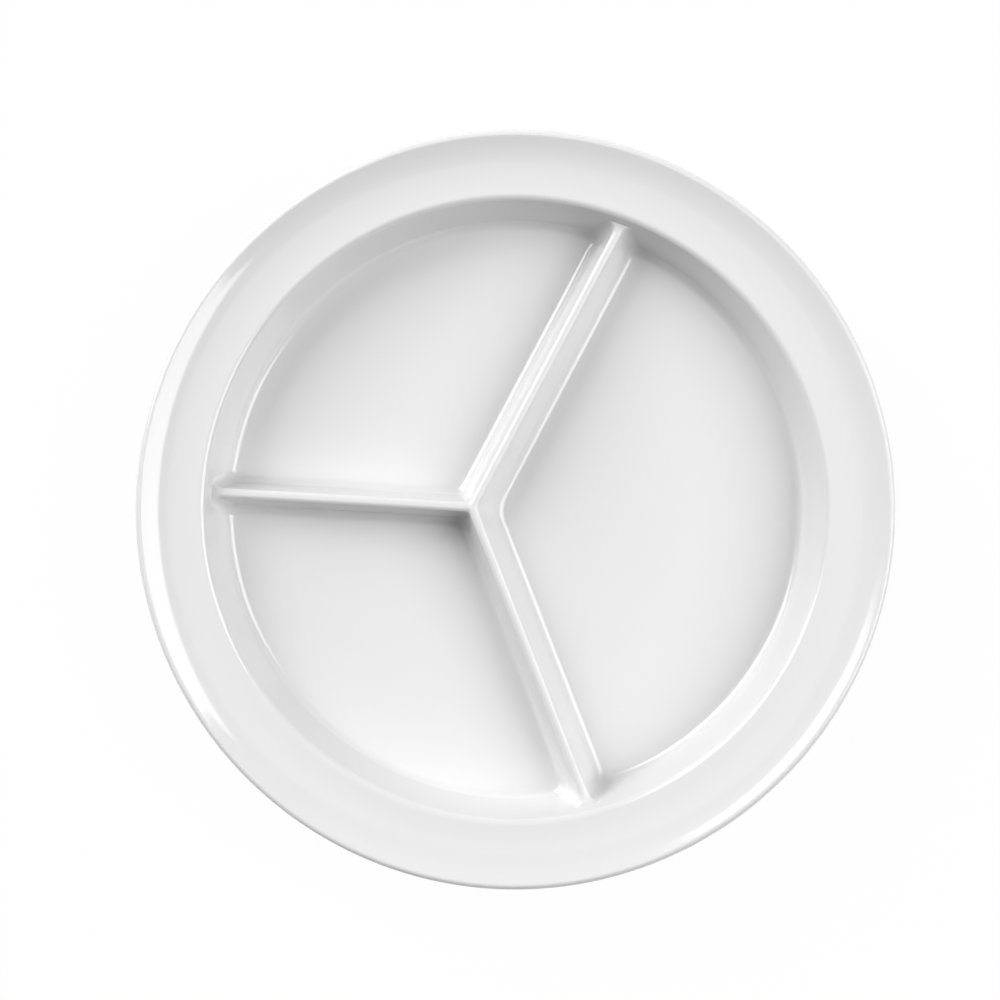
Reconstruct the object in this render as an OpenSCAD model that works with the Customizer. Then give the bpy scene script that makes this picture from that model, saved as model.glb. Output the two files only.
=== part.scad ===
// Round plate with three compartments, moulded in one piece.
// Z is up and the origin is at the middle of the foot ring's standing face.
// The large compartment lies towards +X and the plate is symmetric about the XZ plane.
// Each module below is one region of the moulding, cut where the section changes.

/* [Plate] */
// Outer diameter over the lip
plate_d = 254; // [216:1:300]
// Thickness of the moulding
wall_t = 2.8; // [2.5:0.1:3.2]

/* [Well] */
// Depth from the rim's inner edge to the floor
well_depth = 22; // [20:0.5:25]
// Lean of the well's wall away from upright, in degrees
wall_draft = 16.8; // [15:0.2:20]
// Radius of the fillet where walls and dividers meet the floor
base_fillet_r = 3.4; // [2.4:0.1:3.8]
// Radius of the shoulder where the wall turns into the rim
shoulder_r = 2.5; // [1.5:0.1:3.5]

/* [Rim] */
// Width of the rim, from the top of the well's wall out to the lip
rim_w = 22.9; // [22:0.1:26]
// Climb of the rim beside the well, in degrees
rim_slope = 2; // [1:0.5:4]
// Climb of the rim's middle, in degrees
rim_mid_slope = 10; // [8:0.5:11]
// Climb of the rim's outer band, in degrees
band_slope = 23; // [20:1:24]
// Share of the rim's width from the lip in to the middle of its first sweep
rim_sweep_share = 0.68; // [0.65:0.01:0.7]
// Share of the rim's width from the lip in to the middle of its second sweep
band_share = 0.33; // [0.3:0.01:0.36]
// Radius of the lip's upper edge
lip_r = 1.5; // [1:0.1:1.6]
// Radius of the lip's lower edge
lip_under_r = 0.5; // [0.3:0.1:0.6]

/* [Dividers] */
// Height of the dividers above the floor
divider_h = 16; // [14:0.5:18]
// Lean of the long dividers' faces towards the large compartment, in degrees
main_face_draft = 19.4; // [17:0.2:21]
// Lean of the long dividers' faces towards the side compartments, in degrees
side_face_draft = 13; // [11:0.2:15]
// Lean of the short divider's faces, in degrees
short_face_draft = 10; // [8:0.2:12]
// Radius of the rounding on each side of the crests
crest_r = 1.4; // [1:0.1:1.6]
// Flat between the two roundings of a crest
crest_land = 0.5; // [0.4:0.1:2]
// Distance from the plate's middle to the point where the dividers meet
hub_offset = 14.5; // [11:0.5:18]
// Angle of each long divider from the large compartment's middle line, in degrees
fan_angle = 65.4; // [60:0.2:72]

/* [Compartment corners] */
// Radius of the large compartment's corner at the hub, on the floor
main_corner_r = 11; // [7:0.5:13]
// Radius of the same corner at the crests
main_corner_top_r = 3; // [1.5:0.5:8]
// Radius of each side compartment's corner at the hub, on the floor
side_corner_r = 4.5; // [3:0.5:6]
// Radius of the same corner at the crests
side_corner_top_r = 1.5; // [0.8:0.1:4]
// Corner radius where a divider runs into the well's wall
end_corner_r = 3.6; // [2.5:0.1:5]

/* [Underside] */
// Distance from the edge of the floor in to the middle of the foot ring
foot_inset = 7.9; // [4:0.5:20]
// Width of the foot ring's standing face and roundings
foot_w = 4; // [3:0.2:5]
// Height of the foot ring
foot_h = 2; // [1.5:0.1:3]
// Radius of the foot ring's lower edges
foot_edge_r = 0.8; // [0.4:0.1:1.2]
// Lean of the foot ring's sides, in degrees
foot_draft = 15; // [5:1:25]
// Radius at the top of the hollow under each divider
hollow_tip_r = 0.9; // [0.6:0.1:1]
// Distance from the foot ring's inner side to the ends of the hollows
hollow_end_gap = 4; // [2:0.5:8]

/* [Hidden] */
plate_white = [0.94, 0.94, 0.93];

// Heights above the standing face
floor_z = foot_h + wall_t;
crest_z = floor_z + divider_h;
rim_z = floor_z + well_depth;

// Slopes of the faces, measured from level
wall_slope = 90 - wall_draft;
short_slope = 90 - short_face_draft;

// Radii of the plate's section, at the sharp corners that the fillets round off
plate_r = plate_d / 2;
sweep_r = plate_r - rim_sweep_share * rim_w;
band_start_r = plate_r - band_share * rim_w;
wall_top_r = plate_r - rim_w;
rim_start_r = wall_top_r + shoulder_r;
wall_foot_r = wall_top_r - well_depth * tan(wall_draft);
// Radius of the flat floor, inside the base fillet
floor_r = wall_foot_r - base_fillet_r * tan(wall_slope / 2);
sweep_z = rim_z + (sweep_r - wall_top_r) * tan(rim_slope);
band_start_z = sweep_z + (band_start_r - sweep_r) * tan(rim_mid_slope);
lip_z = band_start_z + (plate_r - band_start_r) * tan(band_slope);
under_shoulder_r = wall_t / 3;
// Both sweeps take nearly half of the run between their middles, so that they nearly meet
sweep_reach_share = 0.46;
sweep_reach = sweep_reach_share * (band_start_r - sweep_r);
rim_sweep_r = sweep_reach / tan((rim_mid_slope - rim_slope) / 2);
band_sweep_r = sweep_reach / tan((band_slope - rim_mid_slope) / 2);
foot_ring_r = floor_r - foot_inset;

// How far cutting shapes run past what they cut
overrun = wall_t / 2;
// How far the compartment shapes run into the well's wall, which trims them
wall_skin = wall_t / 28;

// Fineness of the round stretches
arc_step = 13;
ring_sides = 144;
fillet_steps = 5;
crest_steps = 4;
corner_steps = 6;
wall_steps = 12;

// Directions of the three dividers from the hub, then the lean of their left and right faces
FAR = [fan_angle, side_face_draft, main_face_draft];
NEAR = [-fan_angle, main_face_draft, side_face_draft];
SHORT = [180, short_face_draft, short_face_draft];
// The near divider again, reached by going once round from the short one
NEAR_ROUND = [NEAR[0] + 360, NEAR[1], NEAR[2]];
hub = [-hub_offset, 0];

// Radii of the compartments' corners at the hub, at the floor and at the crests
MAIN_CORNER = [main_corner_r, main_corner_top_r];
SIDE_CORNER = [side_corner_r, side_corner_top_r];

function unit(v) = v / norm(v);
function heading(a) = [cos(a), sin(a)];
function leftward(a) = [-sin(a), cos(a)];
function bearing(v) = atan2(v[1], v[0]);

// Path through corner points [x, y, radius], with each corner that has a radius rounded
function rounded(corners) = [
    for (i = [0:len(corners) - 1])
        let (p = [corners[i][0], corners[i][1]], r = corners[i][2])
        if (r == 0) p
        else let (
            before = unit([corners[i - 1][0], corners[i - 1][1]] - p),
            after = unit([corners[i + 1][0], corners[i + 1][1]] - p),
            half = acos(before * after) / 2,
            centre = p + unit(before + after) * r / sin(half),
            side = sign(before[1] * after[0] - before[0] * after[1]),
            turn = 180 - 2 * half,
            first = bearing(p + before * r / tan(half) - centre),
            steps = max(1, ceil(turn / arc_step)))
            each [for (k = [0:steps]) centre + r * heading(first + side * turn * k / steps)]];

// Corner of a parallel path, shifted by t to the right of the path's heading
function shifted(x, y, heading_in, heading_out, t, r) =
    let (mean = (heading_in + heading_out) / 2)
    let (reach = t / cos((heading_out - heading_in) / 2))
    [x + reach * sin(mean), y - reach * cos(mean), r];

// Upper surface of the plate from its middle out to the lip, then the underside back to the middle
section_path = rounded([
    [0, floor_z, 0],
    [wall_foot_r, floor_z, base_fillet_r],
    [wall_top_r, rim_z, shoulder_r],
    [sweep_r, sweep_z, rim_sweep_r],
    [band_start_r, band_start_z, band_sweep_r],
    [plate_r, lip_z, lip_r],
    [plate_r, lip_z - wall_t / cos(band_slope), lip_under_r],
    shifted(band_start_r, band_start_z, rim_mid_slope, band_slope, wall_t, band_sweep_r + wall_t),
    shifted(sweep_r, sweep_z, rim_slope, rim_mid_slope, wall_t, rim_sweep_r + wall_t),
    shifted(wall_top_r, rim_z, wall_slope, rim_slope, wall_t, under_shoulder_r),
    shifted(wall_foot_r, floor_z, 0, wall_slope, wall_t, base_fillet_r + wall_t),
    [0, foot_h, 0]]);

// Ring of the plate's section between two radii
module section_ring(inner_r, outer_r) {
    rotate_extrude($fn = ring_sides)
        intersection() {
            polygon(section_path);
            translate([inner_r, 0]) square([outer_r - inner_r, lip_z + overrun]);
        }
}

// From a divider's axis to the foot of a face, were it to run straight down to the floor
function foot_half(draft) =
    crest_land / 2 + crest_r * tan((90 - draft) / 2) + divider_h * tan(draft);

// From a divider's axis to a face at height z above the floor: base fillet, straight face, crest rounding
function half_width(draft, z) =
    z < base_fillet_r * (1 - sin(draft)) ?
        foot_half(draft) + base_fillet_r * tan((90 - draft) / 2) - fillet_run(z)
    : z < divider_h - crest_r * (1 - sin(draft)) ?
        foot_half(draft) - z * tan(draft)
    : crest_land / 2 + run(crest_r, crest_r - divider_h + z);

// Radius of the inside of the well at height z above the floor
function well_r(z) =
    z < base_fillet_r * (1 - sin(wall_draft)) ? floor_r + fillet_run(z)
    : wall_foot_r + z * tan(wall_draft);

// Run of the base fillet when it has climbed to height z
function fillet_run(z) = run(base_fillet_r, base_fillet_r - z);

// Half chord of a circle of radius r at a distance d from its middle
function run(r, d) = sqrt(max(0, pow(r, 2) - pow(d, 2)));

// Point of the hub's plane at u along a divider's axis and v to the left of it
function beside(divider, u, v) = hub + u * heading(divider[0]) + v * leftward(divider[0]);

// Distance along a divider's axis to the centre of a corner of radius r at the wall
function corner_u(divider, v, r, wall_r) =
    let (start = beside(divider, 0, v))
    let (back = start * heading(divider[0]))
    sqrt(pow(wall_r - r, 2) - start * start + back * back) - back;

// Distance along a divider's axis to the centre of the corner that it shares with another divider
function hub_corner_u(own_v, other_v, angle) = (own_v * cos(angle) + other_v) / sin(angle);

function arc_points(centre, r, from, to, steps) =
    [for (k = [0:steps]) centre + r * heading(from + (to - from) * k / steps)];

// Outline of a compartment at height z: right and left are the dividers that bound it,
// going round anticlockwise from the corner at the hub, whose radii at floor and crest are hub_radii
function outline(right, left, hub_radii, z) =
    let (
        level = min(max(z, 0), divider_h),
        hub_r = hub_radii[0] + (hub_radii[1] - hub_radii[0]) * level / divider_h,
        right_v = half_width(right[1], level),
        left_v = half_width(left[2], level),
        wall = well_r(level) + wall_skin,
        spread = left[0] - right[0],
        hub_centre = beside(right, hub_corner_u(right_v + hub_r, left_v + hub_r, spread), right_v + hub_r),
        right_end_v = right_v + end_corner_r,
        right_end = beside(right, corner_u(right, right_end_v, end_corner_r, wall), right_end_v),
        left_end_v = -left_v - end_corner_r,
        left_end = beside(left, corner_u(left, left_end_v, end_corner_r, wall), left_end_v),
        right_at = bearing(right_end) + (bearing(right_end) < right[0] - 90 ? 360 : 0),
        left_at = bearing(left_end) + (bearing(left_end) < right_at ? 360 : 0))
    concat(
        arc_points(hub_centre, hub_r, left[0] + 90, right[0] + 270, corner_steps),
        arc_points(right_end, end_corner_r, right[0] - 90, right_at, corner_steps),
        arc_points([0, 0], wall + overrun, right_at, left_at, wall_steps),
        arc_points(left_end, end_corner_r, left_at, left[0] + 90, corner_steps));

// Heights at which the compartments' outlines are taken, fine in the fillet and at the crest
outline_levels = concat(
    [-wall_t - overrun],
    [for (k = [0:fillet_steps]) base_fillet_r * (1 - cos(short_slope * k / fillet_steps))],
    [for (k = [crest_steps:-1:0]) divider_h - crest_r * (1 - cos(short_slope * k / crest_steps))],
    [divider_h + overrun]);

// Space of one compartment, run down through the floor and up past the crests
module compartment(right, left, hub_radii) {
    rings = [for (z = outline_levels) outline(right, left, hub_radii, z)];
    n = len(rings[0]);
    last = len(rings) - 1;
    points = [for (i = [0:last]) for (p = rings[i]) [p[0], p[1], floor_z + outline_levels[i]]];
    sides = [for (i = [0:last - 1]) for (k = [0:n - 1])
        let (a = i * n + k, b = i * n + (k + 1) % n)
        each [[a, a + n, b + n], [a, b + n, b]]];
    ends = [[for (k = [0:n - 1]) k], [for (k = [n - 1:-1:0]) last * n + k]];
    polyhedron(points, concat(sides, ends));
}

// Flat floor of one compartment, trimmed by the well's wall
module compartment_floor(right, left, hub_radii) {
    intersection() {
        translate([0, 0, foot_h])
            linear_extrude(wall_t) polygon(outline(right, left, hub_radii, 0));
        cylinder(r = floor_r, h = floor_z + overrun, $fn = ring_sides);
    }
}

// Outline of the hollow under a divider, across it
function hollow_path(divider) =
    let (
        draft = (divider[1] + divider[2]) / 2,
        foot = (foot_half(divider[1]) + foot_half(divider[2])) / 2,
        mouth = foot - wall_t / cos(draft) + (wall_t + overrun) * tan(draft),
        tip_z = floor_z - wall_t - overrun + mouth / tan(draft))
    rounded([[-mouth, foot_h - overrun, 0], [0, tip_z, hollow_tip_r], [mouth, foot_h - overrun, 0]]);

// How far the middle of a divider's foot lies to the left of its axis
function foot_shift(divider) = (foot_half(divider[1]) - foot_half(divider[2])) / 2;

// Hollow under a divider: straight, with a round end, from the hub to near the foot ring
module hollow(divider) {
    path = hollow_path(divider);
    end_r = foot_ring_r - foot_w / 2 - hollow_end_gap - wall_t;
    reach = corner_u(divider, 0, 0, end_r);
    translate([hub[0], hub[1], 0]) rotate([0, 0, divider[0]]) translate([0, foot_shift(divider), 0]) {
        rotate([90, 0, 90]) linear_extrude(reach) polygon(path);
        translate([reach, 0, 0])
            rotate_extrude($fn = ring_sides / 3)
                intersection() {
                    polygon(path);
                    translate([0, -overrun]) square([plate_r, lip_z + overrun]);
                }
    }
}

// The three dividers in one: all that stands in the well between the compartments
module ridge() {
    wall_path = rounded([
        [0, floor_z, 0],
        [wall_foot_r, floor_z, base_fillet_r],
        [well_r(divider_h), crest_z, 0]]);
    inside = concat([[0, foot_h], [floor_r, foot_h]],
        [for (k = [1:len(wall_path) - 1]) wall_path[k]], [[0, crest_z]]);
    difference() {
        rotate_extrude($fn = ring_sides) polygon(inside);
        compartment(NEAR, FAR, MAIN_CORNER);
        compartment(FAR, SHORT, SIDE_CORNER);
        compartment(SHORT, NEAR_ROUND, SIDE_CORNER);
        hollow(FAR);
        hollow(NEAR);
        hollow(SHORT);
    }
}

// Distance from the hub's point at which the hub ends and the straight dividers start
hub_reach = overrun + max(
    hub_corner_u(half_width(main_face_draft, 0) + main_corner_r,
        half_width(main_face_draft, 0) + main_corner_r, 2 * fan_angle),
    hub_corner_u(half_width(short_face_draft, 0) + side_corner_r,
        half_width(side_face_draft, 0) + side_corner_r, 180 - fan_angle),
    hub_corner_u(half_width(side_face_draft, 0) + side_corner_r,
        half_width(short_face_draft, 0) + side_corner_r, 180 - fan_angle));

// Block that holds one divider from the hub outwards, with its flared end
module divider_block(divider) {
    breadth = 2 * (half_width(main_face_draft, 0) + 3 * end_corner_r);
    translate([hub[0], hub[1], 0]) rotate([0, 0, divider[0]])
        translate([hub_reach, -breadth / 2, 0]) cube([plate_r, breadth, crest_z + overrun]);
}

module divider(which) {
    color(plate_white)
        intersection() {
            ridge();
            divider_block(which);
        }
}

module rim() {
    color(plate_white) section_ring(rim_start_r, plate_r);
}

module well_wall() {
    color(plate_white) section_ring(floor_r, rim_start_r);
}

module main_floor() {
    color(plate_white) compartment_floor(NEAR, FAR, MAIN_CORNER);
}

module far_side_floor() {
    color(plate_white) compartment_floor(FAR, SHORT, SIDE_CORNER);
}

module near_side_floor() {
    color(plate_white) compartment_floor(SHORT, NEAR_ROUND, SIDE_CORNER);
}

module far_divider() {
    divider(FAR);
}

module near_divider() {
    divider(NEAR);
}

module short_divider() {
    divider(SHORT);
}

module divider_hub() {
    color(plate_white)
        difference() {
            ridge();
            divider_block(FAR);
            divider_block(NEAR);
            divider_block(SHORT);
        }
}

module foot_ring() {
    lean = foot_h * tan(foot_draft);
    color(plate_white)
        rotate_extrude($fn = ring_sides)
            polygon(rounded([
                [foot_ring_r - foot_w / 2 - lean, foot_h, 0],
                [foot_ring_r - foot_w / 2, 0, foot_edge_r],
                [foot_ring_r + foot_w / 2, 0, foot_edge_r],
                [foot_ring_r + foot_w / 2 + lean, foot_h, 0]]));
}

rim();
well_wall();
main_floor();
far_side_floor();
near_side_floor();
far_divider();
near_divider();
short_divider();
divider_hub();
foot_ring();
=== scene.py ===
from math import atan2, ceil, cos, pi, radians, sin, sqrt, tan

import bmesh
import bpy
from bpy.props import FloatProperty, FloatVectorProperty, IntProperty, PointerProperty
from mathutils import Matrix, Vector


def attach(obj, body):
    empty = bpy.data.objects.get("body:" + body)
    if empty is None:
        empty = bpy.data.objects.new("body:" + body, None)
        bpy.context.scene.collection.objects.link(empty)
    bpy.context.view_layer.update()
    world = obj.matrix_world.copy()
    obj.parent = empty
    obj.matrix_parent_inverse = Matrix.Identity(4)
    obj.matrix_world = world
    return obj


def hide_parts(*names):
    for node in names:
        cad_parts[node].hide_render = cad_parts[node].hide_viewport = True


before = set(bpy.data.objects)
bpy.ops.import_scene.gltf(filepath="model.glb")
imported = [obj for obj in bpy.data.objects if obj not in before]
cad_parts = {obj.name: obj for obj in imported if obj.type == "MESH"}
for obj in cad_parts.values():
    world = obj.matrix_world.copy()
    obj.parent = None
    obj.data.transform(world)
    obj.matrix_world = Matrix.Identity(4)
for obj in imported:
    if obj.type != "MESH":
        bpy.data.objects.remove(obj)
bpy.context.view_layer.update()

bl_info = {
    "name": "Divided Compartment Plate",
    "version": (1, 0, 0),
    "blender": (4, 5, 0),
    "location": "View3D > Sidebar > Plate",
    "description": "Glossy white round plate with three compartments, on a pale studio floor",
    "category": "Add Mesh",
}

BODY = "root"
PHOTO_PX = 1000
CAMERA_CLIP = (0.01, 20)

# Facets
WELD_GRID = 1e7
SHARP_EDGE = radians(34)
THIN_STEP = 8
STRAIGHT_STEPS = 8
WALL_STEPS = 8
HOLLOW_END_STEPS = 16

# Noise of the finish: scale and detail, and how far each one reaches
CLOUD_NOISE, CLOUD_DARKEST = (28, 3), 0.985
GLOSS_NOISE, GLOSS_LEAST, GLOSS_MOST = (60, 4), 0.8, 1.25
RIPPLE_NOISE, RIPPLE_HEIGHT = (45, 1), 0.001
WEAR_NOISE, WEAR_HEIGHT = (1, 2), 0.0001
WEAR_HEADING, WEAR_STRETCH = radians(24), (40, 1100, 40)
FLOOR_ROUGHNESS = 0.9


def length(name, description, default):
    """A length property, in metres."""
    return FloatProperty(name=name, description=description, default=default, unit="LENGTH",
                         min=0)


def angle(name, description, default):
    """An angle property whose default is given in degrees."""
    return FloatProperty(name=name, description=description, default=radians(default),
                         subtype="ANGLE")


def share(name, description, default):
    """A share of another size, from none to all of it."""
    return FloatProperty(name=name, description=description, default=default, subtype="FACTOR",
                         min=0, max=1)


def power(name, description, default):
    """Light given off, in watts."""
    return FloatProperty(name=name, description=description, default=default, unit="POWER", min=0)


class PlateSizes(bpy.types.PropertyGroup):
    """Sizes of the moulding, the same as those that drive the CAD part."""

    plate_d: length("Diameter", "Outer diameter over the lip", 0.254)
    wall_t: length("Wall", "Thickness of the moulding", 0.0028)
    well_depth: length("Well depth", "Depth from the rim's inner edge to the floor", 0.022)
    wall_draft: angle("Wall draft", "Lean of the well's wall away from upright", 16.8)
    base_fillet_r: length("Base fillet", "Radius where walls and dividers meet the floor", 0.0034)
    shoulder_r: length("Shoulder", "Radius where the wall turns into the rim", 0.0025)
    rim_w: length("Rim width", "From the top of the well's wall out to the lip", 0.0229)
    rim_slope: angle("Rim climb", "Climb of the rim beside the well", 2)
    rim_mid_slope: angle("Rim middle climb", "Climb of the rim's middle", 10)
    band_slope: angle("Band climb", "Climb of the rim's outer band", 23)
    rim_sweep_share: share("First sweep",
                           "Share of the rim from the lip in to its first sweep", 0.68)
    band_share: share("Second sweep", "Share of the rim from the lip in to its second sweep", 0.33)
    sweep_reach_share: share("Sweep reach",
                             "Share of the run between the sweeps that each takes", 0.46)
    lip_r: length("Lip", "Radius of the lip's upper edge", 0.0015)
    lip_under_r: length("Lip underside", "Radius of the lip's lower edge", 0.0005)
    divider_h: length("Divider height", "Height of the dividers above the floor", 0.016)
    main_face_draft: angle("Main face draft",
                           "Lean of the long dividers' faces towards the large compartment", 19.4)
    side_face_draft: angle("Side face draft",
                           "Lean of the long dividers' faces towards the side compartments", 13)
    short_face_draft: angle("Short divider draft", "Lean of the short divider's faces", 10)
    crest_r: length("Crest rounding", "Radius on each side of the crests", 0.0014)
    crest_land: length("Crest flat", "Flat between the two roundings of a crest", 0.0005)
    hub_offset: length("Hub offset", "From the plate's middle to where the dividers meet", 0.0145)
    fan_angle: angle("Fan angle",
                     "From the large compartment's middle line to a long divider", 65.4)
    main_corner_r: length("Main corner",
                          "Large compartment's corner at the hub, on the floor", 0.011)
    main_corner_top_r: length("Main corner top", "The same corner at the crests", 0.003)
    side_corner_r: length("Side corner",
                          "Side compartments' corners at the hub, on the floor", 0.0045)
    side_corner_top_r: length("Side corner top", "The same corners at the crests", 0.0015)
    end_corner_r: length("End corner", "Corner where a divider runs into the well's wall", 0.0036)
    foot_inset: length("Foot inset",
                       "From the floor's edge in to the middle of the foot ring", 0.0079)
    foot_w: length("Foot width", "Width of the foot ring", 0.004)
    foot_h: length("Foot height", "Height of the foot ring", 0.002)
    foot_edge_r: length("Foot edge", "Radius of the foot ring's lower edges", 0.0008)
    foot_draft: angle("Foot draft", "Lean of the foot ring's sides", 15)
    hollow_tip_r: length("Hollow tip", "Radius at the top of the hollow under a divider", 0.0009)
    hollow_end_gap: length("Hollow end gap", "From the foot ring to the ends of the hollows", 0.004)
    ring_sides: IntProperty(name="Ring sides", description="Facets round the plate",
                            default=360, min=24)
    arc_steps: IntProperty(name="Arc steps", description="Facets along a corner's arc",
                           default=14, min=4)


class PlateFinish(bpy.types.PropertyGroup):
    """Colour and gloss of the moulded white."""

    white: FloatVectorProperty(name="White", description="Colour of the plate", subtype="COLOR",
                               size=3, min=0, max=1, default=(0.77, 0.77, 0.77))
    gloss: FloatProperty(name="Roughness", description="Mean roughness of the glossy face",
                         subtype="FACTOR", default=0.1, min=0, max=1)
    ior: FloatProperty(name="Refractive index", description="Of the moulded resin",
                       default=1.6, min=1)
    waviness: FloatProperty(name="Waviness", description="How much the moulded face ripples",
                            subtype="FACTOR", default=0.008, min=0, max=1)
    scratches: FloatProperty(name="Scratches", description="Depth of the fine wear marks",
                             subtype="FACTOR", default=0.01, min=0, max=1)


class StudioSettings(bpy.types.PropertyGroup):
    """Camera, floor and lights of the pale studio."""

    camera_h: length("Camera height", "Height of the camera above the lip", 1.5)
    plate_px: FloatProperty(name="Plate radius in pixels",
                            description="The lip's radius in the photo", default=380.5)
    centre_x_px: FloatProperty(name="Centre across",
                               description="The plate's middle in the photo", default=515.4)
    centre_y_px: FloatProperty(name="Centre down",
                               description="The plate's middle in the photo", default=509.6)
    turn: angle("Turn", "How far the layout is turned clockwise in the photo", 3.3)
    floor_reach: length("Floor reach", "From the plate's middle to the edges of the floor", 6)
    floor_colour: FloatVectorProperty(name="Floor", description="Colour of the pale floor",
                                      subtype="COLOR", size=3, min=0, max=1,
                                      default=(0.9, 0.9, 0.9))
    fill: FloatProperty(name="Fill", description="Strength of the light from all round",
                        default=0.02, min=0)
    lamp_reach: length("Lamp distance", "From the plate to each softbox", 2.0)
    right_heading: angle("Right heading", "Direction of the right softbox, from +X towards +Y", 1)
    right_climb: angle("Right climb", "Height of the right softbox, seen from the plate", 45)
    right_w: length("Right width", "Width of the right softbox", 1.6)
    right_h: length("Right height", "Height of the right softbox", 1.4)
    right_power: power("Right power", "Light of the right softbox", 34.0)
    left_heading: angle("Left heading", "Direction of the left softbox, from +X towards +Y", 144)
    left_climb: angle("Left climb", "Height of the left softbox, seen from the plate", 32)
    left_w: length("Left width", "Width of the left softbox", 1.5)
    left_h: length("Left height", "Height of the left softbox", 1.6)
    left_power: power("Left power", "Light of the left softbox", 45.5)
    top_w: length("Top width", "Width of the softbox above the plate", 1.0)
    top_power: power("Top power", "Light of the softbox above the plate", 1.9)
    floor_glow: FloatProperty(name="Floor glow",
                              description="How white the floor is to the camera and in reflections",
                              default=0.97, min=0)


class Divider:
    """One divider: its axis's direction from the hub, and how far its two faces lean."""

    def __init__(self, plate, heading, left_draft, right_draft):
        self.plate, self.heading = plate, heading
        self.drafts = {1: left_draft, -1: right_draft}

    def face_v(self, side, z):
        """From the axis to the left (1) or right (-1) face at z above the floor."""
        return self.plate.half_width(self.drafts[side], z)

    def place(self, u, v):
        """Point u along the axis from the hub and v to its left."""
        c, s = cos(self.heading), sin(self.heading)
        return (self.plate.hub[0] + u * c - v * s, self.plate.hub[1] + u * s + v * c)

    def corner_u(self, v, r, wall_r):
        """Distance along the axis at which a corner of radius r, v to the left, meets the wall."""
        x, y = self.place(0, v)
        back = x * cos(self.heading) + y * sin(self.heading)
        return sqrt((wall_r - r) ** 2 - x * x - y * y + back * back) - back


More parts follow.
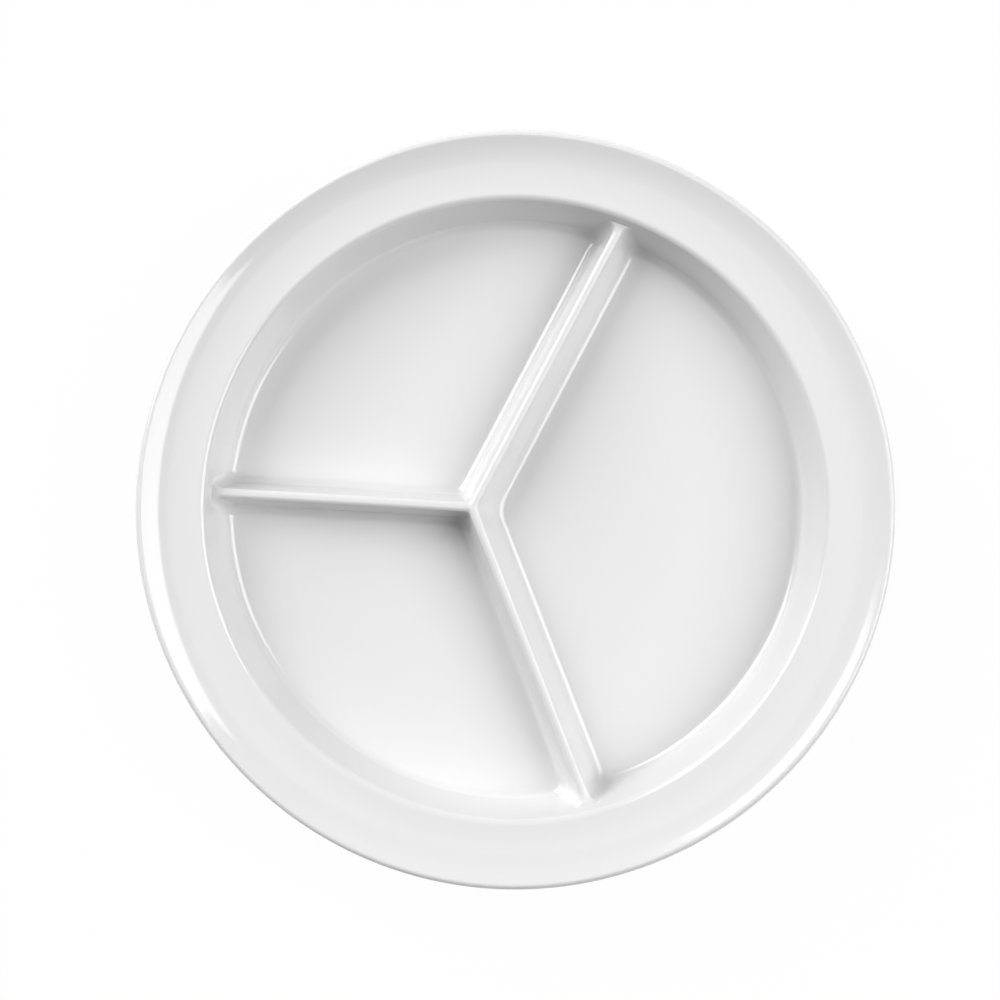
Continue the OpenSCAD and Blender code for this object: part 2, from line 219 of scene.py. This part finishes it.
class Plate:
    """Everything that follows from the sizes: section, dividers, outlines and hollows."""

    def __init__(self, sizes):
        for name in sizes.bl_rna.properties.keys():
            if name not in ("rna_type", "name"):
                setattr(self, name, getattr(sizes, name))
        self.floor_z = self.foot_h + self.wall_t
        self.rim_z = self.floor_z + self.well_depth
        self.plate_r = self.plate_d / 2
        self.wall_slope = pi / 2 - self.wall_draft
        self.wall_top_r = self.plate_r - self.rim_w
        self.rim_start_r = self.wall_top_r + self.shoulder_r
        self.shoulder_under_r = self.wall_t / 3
        self.sweep_r = self.plate_r - self.rim_sweep_share * self.rim_w
        self.band_start_r = self.plate_r - self.band_share * self.rim_w
        self.sweep_reach = self.sweep_reach_share * (self.band_start_r - self.sweep_r)
        self.rim_sweep_r = self.sweep_reach / tan((self.rim_mid_slope - self.rim_slope) / 2)
        self.band_sweep_r = self.sweep_reach / tan((self.band_slope - self.rim_mid_slope) / 2)
        self.wall_foot_r = self.wall_top_r - self.well_depth * tan(self.wall_draft)
        self.floor_r = self.wall_foot_r - self.base_fillet_r * tan(self.wall_slope / 2)
        self.foot_ring_r = self.floor_r - self.foot_inset
        self.sweep_z = self.rim_z + (self.sweep_r - self.wall_top_r) * tan(self.rim_slope)
        self.band_start_z = (self.sweep_z
                             + (self.band_start_r - self.sweep_r) * tan(self.rim_mid_slope))
        self.lip_z = self.band_start_z + (self.plate_r - self.band_start_r) * tan(self.band_slope)
        self.hub = (-self.hub_offset, 0.0)
        self.far = Divider(self, self.fan_angle, self.side_face_draft, self.main_face_draft)
        self.near = Divider(self, -self.fan_angle, self.main_face_draft, self.side_face_draft)
        self.short = Divider(self, pi, self.short_face_draft, self.short_face_draft)
        self.main_corner = (self.main_corner_r, self.main_corner_top_r)
        self.side_corner = (self.side_corner_r, self.side_corner_top_r)
        main_v = self.half_width(self.main_face_draft, 0) + self.main_corner_r
        side_v = self.half_width(self.side_face_draft, 0) + self.side_corner_r
        short_v = self.half_width(self.short_face_draft, 0) + self.side_corner_r
        side_spread = pi - self.fan_angle
        self.hub_reach = self.wall_t / 2 + max(
            self.hub_corner_u(main_v, main_v, 2 * self.fan_angle),
            self.hub_corner_u(short_v, side_v, side_spread),
            self.hub_corner_u(side_v, short_v, side_spread))

    # Widths and radii by height above the floor

    def foot_half(self, draft):
        """From a divider's axis to the foot of a face that runs straight down to the floor."""
        return (self.crest_land / 2 + self.crest_r * tan((pi / 2 - draft) / 2)
                + self.divider_h * tan(draft))

    def fillet_run(self, z):
        """Run of the base fillet when it has climbed to z."""
        return sqrt(max(0.0, self.base_fillet_r ** 2 - (self.base_fillet_r - z) ** 2))

    def half_width(self, draft, z):
        """From a divider's axis to a face at z: base fillet, straight face, crest rounding."""
        if z < self.base_fillet_r * (1 - sin(draft)):
            return (self.foot_half(draft) + self.base_fillet_r * tan((pi / 2 - draft) / 2)
                    - self.fillet_run(z))
        if z < self.divider_h - self.crest_r * (1 - sin(draft)):
            return self.foot_half(draft) - z * tan(draft)
        drop = self.crest_r - self.divider_h + z
        return self.crest_land / 2 + sqrt(max(0.0, self.crest_r ** 2 - drop ** 2))

    def well_r(self, z):
        """Radius of the inside of the well at z."""
        if z < self.base_fillet_r * (1 - sin(self.wall_draft)):
            return self.floor_r + self.fillet_run(z)
        return self.wall_foot_r + z * tan(self.wall_draft)

    def corner_r(self, radii, z):
        """Radius of a hub corner at z, from its radii at the floor and at the crests."""
        return radii[0] + (radii[1] - radii[0]) * z / self.divider_h

    @staticmethod
    def hub_corner_u(own_v, other_v, spread):
        """Distance along a divider's axis to a corner that it shares with another divider."""
        return (own_v * cos(spread) + other_v) / sin(spread)

    def levels(self):
        """Heights above the floor at which the dividers' sides get a row of points."""
        turns = eased(pi / 2 - self.short_face_draft, self.arc_steps)
        turns = sorted(turns + [pi / 2 - self.main_face_draft, pi / 2 - self.side_face_draft])
        rise = [self.base_fillet_r * (1 - cos(t)) for t in turns]
        crown = [self.divider_h - self.crest_r * (1 - cos(t)) for t in reversed(turns)]
        return rise + crown

    # Hollows under the dividers

    def hollow_draft(self, divider):
        """Lean of both faces of the hollow under a divider, the mean of the divider's own."""
        return (divider.drafts[1] + divider.drafts[-1]) / 2

    def hollow_tip_z(self, divider):
        """Where the hollow's two faces would meet, one wall's thickness under the divider's own."""
        draft = self.hollow_draft(divider)
        foot = (self.foot_half(divider.drafts[1]) + self.foot_half(divider.drafts[-1])) / 2
        return self.floor_z + foot / tan(draft) - self.wall_t / sin(draft)

    def hollow_top(self, divider):
        """Height of the hollow's rounded top."""
        return self.hollow_levels(divider)[-1]

    def hollow_half(self, divider, z):
        """Half width of the hollow at z, and none above its top."""
        draft, tip_z = self.hollow_draft(divider), self.hollow_tip_z(divider)
        middle_z = tip_z - self.hollow_tip_r / sin(draft)
        if z < middle_z + self.hollow_tip_r * sin(draft):
            return (tip_z - z) * tan(draft)
        return sqrt(max(0.0, self.hollow_tip_r ** 2 - (z - middle_z) ** 2))

    def hollow_v(self, divider, side, z):
        """How far left of the axis the hollow's left (1) or right (-1) side stands."""
        shift = (self.foot_half(divider.drafts[1]) - self.foot_half(divider.drafts[-1])) / 2
        return shift + side * self.hollow_half(divider, z)

    def hollow_levels(self, divider):
        """Heights at which the hollow's sides get a row of points, from its mouth to its top."""
        draft = self.hollow_draft(divider)
        middle_z = self.hollow_tip_z(divider) - self.hollow_tip_r / sin(draft)
        return [self.foot_h] + [middle_z + self.hollow_tip_r * cos(t)
                                for t in reversed(eased(pi / 2 - draft, self.arc_steps // 2))]

    def hollow_end_u(self, divider):
        """How far from the hub the straight part of a hollow reaches."""
        end_r = self.foot_ring_r - self.foot_w / 2 - self.hollow_end_gap - self.wall_t
        return divider.corner_u(0, 0, end_r)


# Curves

def eased(total, steps):
    """Values from 0 to total in even steps, with thin end steps that keep the shading true."""
    thin = total / steps / THIN_STEP
    return [0.0, thin] + [total * k / steps for k in range(1, steps)] + [total - thin, total]


def arc(centre, radius, start, end, steps):
    """Points of an arc in the plane, from the angle start to the angle end."""
    return [(centre[0] + radius * cos(start + t), centre[1] + radius * sin(start + t))
            for t in signed_eased(end - start, steps)]


def signed_eased(total, steps):
    """eased() for a turn that may be clockwise."""
    return [t if total >= 0 else -t for t in eased(abs(total), steps)]


def wrapped(turn):
    """The same turn between minus and plus half a circle."""
    return (turn + pi) % (2 * pi) - pi


def rounded(corners, steps):
    """Path through corner points (x, y, radius), with each corner that has a radius rounded."""
    path = []
    for i, (x, y, r) in enumerate(corners):
        if not r:
            path.append((x, y))
            continue
        p = Vector((x, y))
        before = (Vector(corners[i - 1][:2]) - p).normalized()
        after = (Vector(corners[i + 1][:2]) - p).normalized()
        half = before.angle(after) / 2
        centre = p + (before + after).normalized() * r / sin(half)
        first = p + before * r / tan(half) - centre
        last = p + after * r / tan(half) - centre
        start = atan2(first.y, first.x)
        path += arc(centre, r, start, start + wrapped(atan2(last.y, last.x) - start), steps)
    return path


def shifted(x, y, heading_in, heading_out, t, r):
    """Corner of a parallel path, t to the right of the path's heading."""
    mean, reach = (heading_in + heading_out) / 2, t / cos((heading_out - heading_in) / 2)
    return (x + reach * sin(mean), y - reach * cos(mean), r)


# Meshes

class Skin:
    """Collects faces and welds the points that they share."""

    def __init__(self):
        self.bm = bmesh.new()
        self.at = {}

    def point(self, co):
        key = tuple(round(c * WELD_GRID) for c in co)
        if key not in self.at:
            self.at[key] = self.bm.verts.new(co)
        return self.at[key]

    def face(self, points):
        """A face through the points, with repeated ones left out."""
        verts = []
        for co in points:
            vert = self.point(co)
            if not verts or vert is not verts[-1]:
                verts.append(vert)
        if len(verts) > 1 and verts[0] is verts[-1]:
            verts.pop()
        if len(verts) > 2 and not self.bm.faces.get(verts):
            self.bm.faces.new(verts)

    def rows(self, rows):
        """Quads between each row of points and the next."""
        for low, high in zip(rows, rows[1:]):
            for k in range(len(low) - 1):
                self.face([low[k], low[k + 1], high[k + 1], high[k]])

    def revolve(self, path, sides):
        """The closed path of (radius, height) turned once round the plate's axis."""
        turns = [2 * pi * k / sides for k in range(sides)] + [0.0]
        rings = [[(r * cos(t), r * sin(t), z) for r, z in path + path[:1]] for t in turns]
        self.rows(rings)

    def finish(self, name):
        """The piece as an object that rides the plate and stands for the CAD node of its name."""
        bmesh.ops.recalc_face_normals(self.bm, faces=self.bm.faces)
        mesh = bpy.data.meshes.new(name)
        self.bm.to_mesh(mesh)
        self.bm.free()
        mesh.shade_smooth()
        mesh.set_sharp_from_angle(angle=SHARP_EDGE)
        piece = bpy.data.objects.new(name + "_face", mesh)
        bpy.context.scene.collection.objects.link(piece)
        mesh.materials.append(moulded_white(bpy.context.scene.plate_finish))
        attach(piece, BODY)
        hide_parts(name)
        return piece


def lifted(points, z):
    """Plane points at height z."""
    return [(x, y, z) for x, y in points]


# Finish

def moulded_white(finish):
    """Glossy moulded white: faint cloudiness, a slow ripple and fine wear marks."""
    material = bpy.data.materials.get("moulded_white")
    if material:
        return material
    material = bpy.data.materials.new("moulded_white")
    material.use_nodes = True
    nodes, links = material.node_tree.nodes, material.node_tree.links
    shader = nodes["Principled BSDF"]
    shader.inputs["IOR"].default_value = finish.ior
    where = nodes.new("ShaderNodeTexCoord").outputs["Object"]

    def noise(scale, detail):
        node = nodes.new("ShaderNodeTexNoise")
        node.inputs["Scale"].default_value = scale
        node.inputs["Detail"].default_value = detail
        links.new(where, node.inputs["Vector"])
        return node.outputs["Fac"]

    def ramp(source, low, high):
        node = nodes.new("ShaderNodeMapRange")
        node.inputs["To Min"].default_value = low
        node.inputs["To Max"].default_value = high
        links.new(source, node.inputs["Value"])
        return node.outputs["Result"]

    cloud = nodes.new("ShaderNodeMix")
    cloud.data_type = "RGBA"
    cloud.inputs[6].default_value = (*finish.white, 1)
    cloud.inputs[7].default_value = (*[c * CLOUD_DARKEST for c in finish.white], 1)
    links.new(noise(*CLOUD_NOISE), cloud.inputs["Factor"])
    links.new(cloud.outputs[2], shader.inputs["Base Color"])
    links.new(ramp(noise(*GLOSS_NOISE), finish.gloss * GLOSS_LEAST, finish.gloss * GLOSS_MOST),
              shader.inputs["Roughness"])

    stretch = nodes.new("ShaderNodeMapping")
    stretch.inputs["Rotation"].default_value = (0, 0, WEAR_HEADING)
    stretch.inputs["Scale"].default_value = WEAR_STRETCH
    links.new(where, stretch.inputs["Vector"])
    wear = nodes.new("ShaderNodeTexNoise")
    wear.inputs["Scale"].default_value, wear.inputs["Detail"].default_value = WEAR_NOISE
    links.new(stretch.outputs["Vector"], wear.inputs["Vector"])

    scratch = nodes.new("ShaderNodeBump")
    scratch.inputs["Strength"].default_value = finish.scratches
    scratch.inputs["Distance"].default_value = WEAR_HEIGHT
    links.new(wear.outputs["Fac"], scratch.inputs["Height"])
    ripple = nodes.new("ShaderNodeBump")
    ripple.inputs["Strength"].default_value = finish.waviness
    ripple.inputs["Distance"].default_value = RIPPLE_HEIGHT
    links.new(noise(*RIPPLE_NOISE), ripple.inputs["Height"])
    links.new(scratch.outputs["Normal"], ripple.inputs["Normal"])
    links.new(ripple.outputs["Normal"], shader.inputs["Normal"])
    return material


# Pieces

def upper_rim_corners(p):
    """Corners of the plate's upper side from the well's wall out to the lip."""
    return [(p.wall_foot_r, p.floor_z, p.base_fillet_r),
            (p.wall_top_r, p.rim_z, p.shoulder_r),
            (p.sweep_r, p.sweep_z, p.rim_sweep_r),
            (p.band_start_r, p.band_start_z, p.band_sweep_r),
            (p.plate_r, p.lip_z, p.lip_r)]


def under_rim_corners(p):
    """Corners of the underside from the lip back to the well's wall."""
    return [(p.plate_r, p.lip_z - p.wall_t / cos(p.band_slope), p.lip_under_r),
            shifted(p.band_start_r, p.band_start_z, p.rim_mid_slope, p.band_slope, p.wall_t,
                    p.band_sweep_r + p.wall_t),
            shifted(p.sweep_r, p.sweep_z, p.rim_slope, p.rim_mid_slope, p.wall_t,
                    p.rim_sweep_r + p.wall_t),
            shifted(p.wall_top_r, p.rim_z, p.wall_slope, p.rim_slope, p.wall_t,
                    p.shoulder_under_r),
            shifted(p.wall_foot_r, p.floor_z, 0, p.wall_slope, p.wall_t,
                    p.base_fillet_r + p.wall_t)]


def section(p, inner_r, outer_r):
    """Closed outline of the plate's section between two radii."""
    path = rounded([(0, p.floor_z, 0), *upper_rim_corners(p), *under_rim_corners(p),
                    (0, p.foot_h, 0)], p.arc_steps)
    cut = []
    for (r0, z0), (r1, z1) in zip(path, path[1:]):
        inside0, inside1 = inner_r <= r0 <= outer_r, inner_r <= r1 <= outer_r
        if inside0:
            cut.append((r0, z0))
        for edge in (inner_r, outer_r):
            if inside0 != inside1 and min(r0, r1) < edge < max(r0, r1):
                cut.append((edge, z0 + (z1 - z0) * (edge - r0) / (r1 - r0)))
    return cut


def side_rows(p, divider, side):
    """Rows up one side of a divider (1 left, -1 right), from the hub round the end corner."""
    rows = []
    for z in p.levels():
        v = divider.face_v(side, z)
        centre_v = side * (v + p.end_corner_r)
        centre_u = divider.corner_u(centre_v, p.end_corner_r, p.well_r(z))
        centre = divider.place(centre_u, centre_v)
        start = divider.heading - side * pi / 2
        end = divider.heading + wrapped(atan2(centre[1], centre[0]) - divider.heading)
        us = [p.hub_reach + (centre_u - p.hub_reach) * k / STRAIGHT_STEPS
              for k in range(STRAIGHT_STEPS)]
        row = [divider.place(u, side * v) for u in us]
        row += arc(centre, p.end_corner_r, start, end, p.arc_steps)
        rows.append(lifted(row, p.floor_z + z))
    return rows


def hub_rows(p, right, left, radii):
    """Rows up a compartment's corner at the hub, from the right divider to the left one."""
    rows = []
    spread = (left.heading - right.heading) % (2 * pi)
    for z in p.levels():
        r = p.corner_r(radii, z)
        right_v, left_v = right.face_v(1, z), left.face_v(-1, z)
        centre = right.place(p.hub_corner_u(right_v + r, left_v + r, spread), right_v + r)
        start = right.heading + 3 * pi / 2
        turned = arc(centre, r, start, start + spread - pi, p.arc_steps)
        row = [right.place(p.hub_reach, right_v), *turned, left.place(p.hub_reach, -left_v)]
        rows.append(lifted(row, p.floor_z + z))
    return rows


def wall_row(p, start, end, z):
    """Points across the well's wall at z, between two points that lie on it."""
    a0 = atan2(start[1], start[0])
    turn = wrapped(atan2(end[1], end[0]) - a0)
    r = p.well_r(z)
    ways = [a0 + turn * k / WALL_STEPS for k in range(1, WALL_STEPS)]
    return [start, *((r * cos(way), r * sin(way), p.floor_z + z) for way in ways), end]


def build_divider(p, divider):
    """One divider with its crest, base fillets and flared end, closed over its hollow."""
    skin = Skin()
    left, right = side_rows(p, divider, 1), side_rows(p, divider, -1)
    skin.rows(left)
    skin.rows(right)
    skin.rows([left[-1][:-1], right[-1][:-1]])
    contact = [wall_row(p, a[-1], b[-1], z) for a, b, z in zip(left, right, p.levels())]
    skin.rows(contact)
    skin.face([left[-1][-2], *contact[-1], right[-1][-2]])
    edge = left[0] + contact[0][1:-1] + right[0][::-1]
    skin.rows([[(x, y, p.foot_h) for x, y, _ in edge], edge])
    build_hollow(p, skin, divider, edge)
    mouth = hollow_mouth(p, divider, p.hollow_levels(divider))
    outer = [row[0] for row in left] + [row[0] for row in reversed(right)]
    skin.face([(*edge[0][:2], p.foot_h), *outer, (*edge[-1][:2], p.foot_h), *reversed(mouth)])
    return skin


def hollow_mouth(p, divider, levels):
    """Outline of the hollow where a divider meets the hub, up one side and down the other."""
    return [(*divider.place(p.hub_reach, p.hollow_v(divider, side, z)), z)
            for side, heights in ((1, levels), (-1, reversed(levels))) for z in heights]


def build_hollow(p, skin, divider, edge):
    """The hollow under a divider, with its round end, and the flat face round its mouth."""
    end_u = p.hollow_end_u(divider)
    turns = [pi / 2 - pi * k / HOLLOW_END_STEPS for k in range(HOLLOW_END_STEPS + 1)]
    rows = []
    for z in p.hollow_levels(divider):
        half = p.hollow_half(divider, z)
        left_v, right_v = p.hollow_v(divider, 1, z), p.hollow_v(divider, -1, z)
        middle_v = (left_v + right_v) / 2
        bend = [divider.place(end_u + half * cos(t), middle_v + half * sin(t)) for t in turns]
        row = [divider.place(p.hub_reach, left_v), *bend, divider.place(p.hub_reach, right_v)]
        rows.append(lifted(row, z))
    skin.rows(rows)
    skin.face([(x, y, p.foot_h) for x, y, _ in edge] + rows[0][::-1])


def build_hub(p):
    """The star where the three dividers meet, down to the joined hollows under it."""
    skin = Skin()
    arms = [(p.near, p.far, p.main_corner), (p.far, p.short, p.side_corner),
            (p.short, p.near, p.side_corner)]
    corners = [hub_rows(p, *arm) for arm in arms]
    for rows in corners:
        skin.rows(rows)
        skin.rows([[(x, y, p.foot_h) for x, y, _ in rows[0]], rows[0]])
    skin.face([co for rows in corners for co in rows[-1]])
    levels = sorted(set(p.hollow_levels(p.far) + p.hollow_levels(p.short)))
    for (right, left, _), rows in zip(arms, corners):
        spread = (left.heading - right.heading) % (2 * pi)
        right_wall, left_wall = [], []
        for z in levels:
            right_v, left_v = p.hollow_v(right, 1, z), p.hollow_v(left, -1, z)
            mitre = right.place(p.hub_corner_u(right_v, -left_v, spread), right_v)
            right_wall.append(lifted([right.place(p.hub_reach, right_v), mitre], z))
            left_wall.append(lifted([mitre, left.place(p.hub_reach, left_v)], z))
        skin.rows([row for row, z in zip(right_wall, levels) if z <= p.hollow_top(right)])
        skin.rows([row for row, z in zip(left_wall, levels) if z <= p.hollow_top(left)])
        skin.face([(x, y, p.foot_h) for x, y, _ in rows[0]]
                  + [left_wall[0][1], left_wall[0][0], right_wall[0][0]])
    for k, (divider, _, _) in enumerate(arms):
        left_rows, right_rows = corners[k], corners[k - 1]
        mouth = hollow_mouth(p, divider, [z for z in levels if z <= p.hollow_top(divider)])
        outer = [row[0] for row in left_rows] + [row[-1] for row in reversed(right_rows)]
        skin.face([(*outer[0][:2], p.foot_h), *outer, (*outer[-1][:2], p.foot_h),
                   *reversed(mouth)])
    return skin


def floor_outline(p, right, left, radii):
    """Outline of a compartment's flat floor, once round."""
    hub_row = [co[:2] for co in hub_rows(p, right, left, radii)[0]][1:-1]
    right_row = [co[:2] for co in side_rows(p, right, 1)[0]]
    left_row = [co[:2] for co in side_rows(p, left, -1)[0]]
    a0 = atan2(right_row[-1][1], right_row[-1][0])
    turn = (atan2(left_row[-1][1], left_row[-1][0]) - a0) % (2 * pi)
    count = ceil(turn / (2 * pi) * p.ring_sides)
    edge = [(p.floor_r * cos(a0 + turn * k / count), p.floor_r * sin(a0 + turn * k / count))
            for k in range(1, count)]
    return hub_row[::-1] + right_row + edge + left_row[::-1]


def build_floor(p, right, left, radii):
    """The flat floor of one compartment, one wall thick."""
    skin = Skin()
    outline = floor_outline(p, right, left, radii)
    skin.face(lifted(outline, p.floor_z))
    skin.face(lifted(outline, p.foot_h))
    closed = outline + outline[:1]
    skin.rows([lifted(closed, p.foot_h), lifted(closed, p.floor_z)])
    return skin


# Operators

class PLATE_OT_rim(bpy.types.Operator):
    """Add the rim with its steeper outer band and rounded lip"""

    bl_idname = "plate.rim"
    bl_label = "Rim"

    def execute(self, context):
        p = Plate(context.scene.plate_sizes)
        skin = Skin()
        skin.revolve(section(p, p.rim_start_r, p.plate_r), p.ring_sides)
        skin.finish("rim")
        return {"FINISHED"}


class PLATE_OT_well_wall(bpy.types.Operator):
    """Add the well's leaning wall, from the floor's edge to the shoulder"""

    bl_idname = "plate.well_wall"
    bl_label = "Well wall"

    def execute(self, context):
        p = Plate(context.scene.plate_sizes)
        skin = Skin()
        skin.revolve(section(p, p.floor_r, p.rim_start_r), p.ring_sides)
        skin.finish("well_wall")
        return {"FINISHED"}


class PLATE_OT_floors(bpy.types.Operator):
    """Add the flat floors of the three compartments"""

    bl_idname = "plate.floors"
    bl_label = "Floors"

    def execute(self, context):
        p = Plate(context.scene.plate_sizes)
        build_floor(p, p.near, p.far, p.main_corner).finish("main_floor")
        build_floor(p, p.far, p.short, p.side_corner).finish("far_side_floor")
        build_floor(p, p.short, p.near, p.side_corner).finish("near_side_floor")
        return {"FINISHED"}


class PLATE_OT_dividers(bpy.types.Operator):
    """Add the two long dividers and the short one"""

    bl_idname = "plate.dividers"
    bl_label = "Dividers"

    def execute(self, context):
        p = Plate(context.scene.plate_sizes)
        build_divider(p, p.far).finish("far_divider")
        build_divider(p, p.near).finish("near_divider")
        build_divider(p, p.short).finish("short_divider")
        return {"FINISHED"}


class PLATE_OT_hub(bpy.types.Operator):
    """Add the star where the dividers meet"""

    bl_idname = "plate.hub"
    bl_label = "Hub"

    def execute(self, context):
        build_hub(Plate(context.scene.plate_sizes)).finish("divider_hub")
        return {"FINISHED"}


class PLATE_OT_foot_ring(bpy.types.Operator):
    """Add the low ring that the plate stands on"""

    bl_idname = "plate.foot_ring"
    bl_label = "Foot ring"

    def execute(self, context):
        p = Plate(context.scene.plate_sizes)
        lean = p.foot_h * tan(p.foot_draft)
        outline = rounded([(p.foot_ring_r - p.foot_w / 2 - lean, p.foot_h, 0),
                           (p.foot_ring_r - p.foot_w / 2, 0, p.foot_edge_r),
                           (p.foot_ring_r + p.foot_w / 2, 0, p.foot_edge_r),
                           (p.foot_ring_r + p.foot_w / 2 + lean, p.foot_h, 0)],
                          p.arc_steps // 2)
        skin = Skin()
        skin.revolve(outline, p.ring_sides)
        skin.finish("foot_ring")
        return {"FINISHED"}


def pale_floor(studio):
    """Pale floor, white to the camera and in reflections, that keeps the plate's shadow."""
    material = bpy.data.materials.new("pale_floor")
    material.use_nodes = True
    nodes, links = material.node_tree.nodes, material.node_tree.links
    matte = nodes["Principled BSDF"]
    matte.inputs["Base Color"].default_value = (*studio.floor_colour, 1)
    matte.inputs["Roughness"].default_value = FLOOR_ROUGHNESS
    matte.inputs["Specular IOR Level"].default_value = 0
    glow = nodes.new("ShaderNodeEmission")
    glow.inputs["Strength"].default_value = 1
    path = nodes.new("ShaderNodeLightPath")
    seen = nodes.new("ShaderNodeMath")
    seen.operation = "MAXIMUM"
    links.new(path.outputs["Is Camera Ray"], seen.inputs[0])
    links.new(path.outputs["Is Glossy Ray"], seen.inputs[1])
    also = nodes.new("ShaderNodeMath")
    also.operation = "MAXIMUM"
    links.new(seen.outputs[0], also.inputs[0])
    links.new(path.outputs["Is Transmission Ray"], also.inputs[1])
    whiteness = nodes.new("ShaderNodeMath")
    whiteness.operation = "MULTIPLY"
    whiteness.inputs[1].default_value = studio.floor_glow
    links.new(also.outputs[0], whiteness.inputs[0])
    mix = nodes.new("ShaderNodeMixShader")
    links.new(whiteness.outputs[0], mix.inputs["Fac"])
    links.new(matte.outputs["BSDF"], mix.inputs[1])
    links.new(glow.outputs["Emission"], mix.inputs[2])
    links.new(mix.outputs["Shader"], nodes["Material Output"].inputs["Surface"])
    return material


def softbox(name, heading, climb, distance, size, watts):
    """Rectangular area lamp that looks at the plate from a heading and a climb."""
    lamp = bpy.data.lights.new(name, "AREA")
    lamp.shape = "RECTANGLE"
    lamp.size, lamp.size_y = size
    lamp.energy = watts
    place = bpy.data.objects.new(name, lamp)
    bpy.context.scene.collection.objects.link(place)
    aim = Vector((cos(heading) * cos(climb), sin(heading) * cos(climb), sin(climb)))
    place.location = aim * distance
    place.rotation_mode = "QUATERNION"
    place.rotation_quaternion = aim.to_track_quat("Z", "Y")
    place.visible_camera = False
    return place


class PLATE_OT_stage(bpy.types.Operator):
    """Add the pale floor, the studio lights and the camera straight above the plate"""

    bl_idname = "plate.stage"
    bl_label = "Stage"

    def execute(self, context):
        scene, studio = context.scene, context.scene.studio
        p = Plate(scene.plate_sizes)
        self.add_floor(scene, studio)
        self.add_world(scene, studio)
        self.add_lights(studio)
        self.add_camera(scene, studio, p)
        scene.view_settings.view_transform = "Standard"
        return {"FINISHED"}

    def add_floor(self, scene, studio):
        reach = studio.floor_reach
        mesh = bpy.data.meshes.new("studio_floor")
        mesh.from_pydata([(-reach, -reach, 0), (reach, -reach, 0),
                          (reach, reach, 0), (-reach, reach, 0)], [], [(0, 1, 2, 3)])
        mesh.materials.append(pale_floor(studio))
        ground = bpy.data.objects.new("studio_floor", mesh)
        scene.collection.objects.link(ground)

    def add_world(self, scene, studio):
        world = bpy.data.worlds.new("studio")
        scene.world = world
        world.use_nodes = True
        nodes, links = world.node_tree.nodes, world.node_tree.links
        fill = nodes["Background"]
        fill.inputs["Color"].default_value = (1, 1, 1, 1)
        fill.inputs["Strength"].default_value = studio.fill
        white = nodes.new("ShaderNodeBackground")
        white.inputs["Color"].default_value = (1, 1, 1, 1)
        path = nodes.new("ShaderNodeLightPath")
        mix = nodes.new("ShaderNodeMixShader")
        links.new(path.outputs["Is Camera Ray"], mix.inputs["Fac"])
        links.new(fill.outputs["Background"], mix.inputs[1])
        links.new(white.outputs["Background"], mix.inputs[2])
        links.new(mix.outputs["Shader"], nodes["World Output"].inputs["Surface"])

    def add_lights(self, studio):
        softbox("softbox_right", studio.right_heading, studio.right_climb, studio.lamp_reach,
                (studio.right_w, studio.right_h), studio.right_power)
        softbox("softbox_left", studio.left_heading, studio.left_climb, studio.lamp_reach,
                (studio.left_w, studio.left_h), studio.left_power)
        softbox("softbox_top", 0, pi / 2, studio.lamp_reach,
                (studio.top_w, studio.top_w), studio.top_power)

    def add_camera(self, scene, studio, p):
        eye = bpy.data.cameras.new("camera")
        place = bpy.data.objects.new("camera", eye)
        scene.collection.objects.link(place)
        px = p.plate_r / studio.plate_px
        eye.lens = eye.sensor_width * studio.camera_h / (PHOTO_PX * px)
        eye.clip_start, eye.clip_end = CAMERA_CLIP
        across = (PHOTO_PX / 2 - studio.centre_x_px) * px
        down = (PHOTO_PX / 2 - studio.centre_y_px) * px
        place.location = (0, 0, p.lip_z + studio.camera_h)
        place.rotation_euler = (0, 0, studio.turn)
        eye.shift_x = across / (PHOTO_PX * px)
        eye.shift_y = -down / (PHOTO_PX * px)
        scene.camera = place


class PLATE_PT_panel(bpy.types.Panel):
    """Lists the plate's pieces and the stage"""

    bl_label = "Divided Plate"
    bl_idname = "PLATE_PT_panel"
    bl_space_type = "VIEW_3D"
    bl_region_type = "UI"
    bl_category = "Plate"

    def draw(self, context):
        column = self.layout.column(align=True)
        for operator in OPERATORS:
            column.operator(operator.bl_idname)
        scene = context.scene
        for group in (scene.plate_sizes, scene.plate_finish, scene.studio):
            box = self.layout.box()
            for name in group.bl_rna.properties.keys():
                if name not in ("rna_type", "name"):
                    box.prop(group, name)


OPERATORS = (PLATE_OT_rim, PLATE_OT_well_wall, PLATE_OT_floors, PLATE_OT_dividers, PLATE_OT_hub,
             PLATE_OT_foot_ring, PLATE_OT_stage)
CLASSES = (PlateSizes, PlateFinish, StudioSettings, *OPERATORS, PLATE_PT_panel)


def register():
    for cls in CLASSES:
        bpy.utils.register_class(cls)
    bpy.types.Scene.plate_sizes = PointerProperty(type=PlateSizes)
    bpy.types.Scene.plate_finish = PointerProperty(type=PlateFinish)
    bpy.types.Scene.studio = PointerProperty(type=StudioSettings)


def unregister():
    del bpy.types.Scene.studio, bpy.types.Scene.plate_finish, bpy.types.Scene.plate_sizes
    for cls in reversed(CLASSES):
        bpy.utils.unregister_class(cls)


def main():
    """Registers the add-on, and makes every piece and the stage."""
    register()
    bpy.ops.plate.rim()
    bpy.ops.plate.well_wall()
    bpy.ops.plate.floors()
    bpy.ops.plate.dividers()
    bpy.ops.plate.hub()
    bpy.ops.plate.foot_ring()
    bpy.ops.plate.stage()


if __name__ == "__main__":
    main()
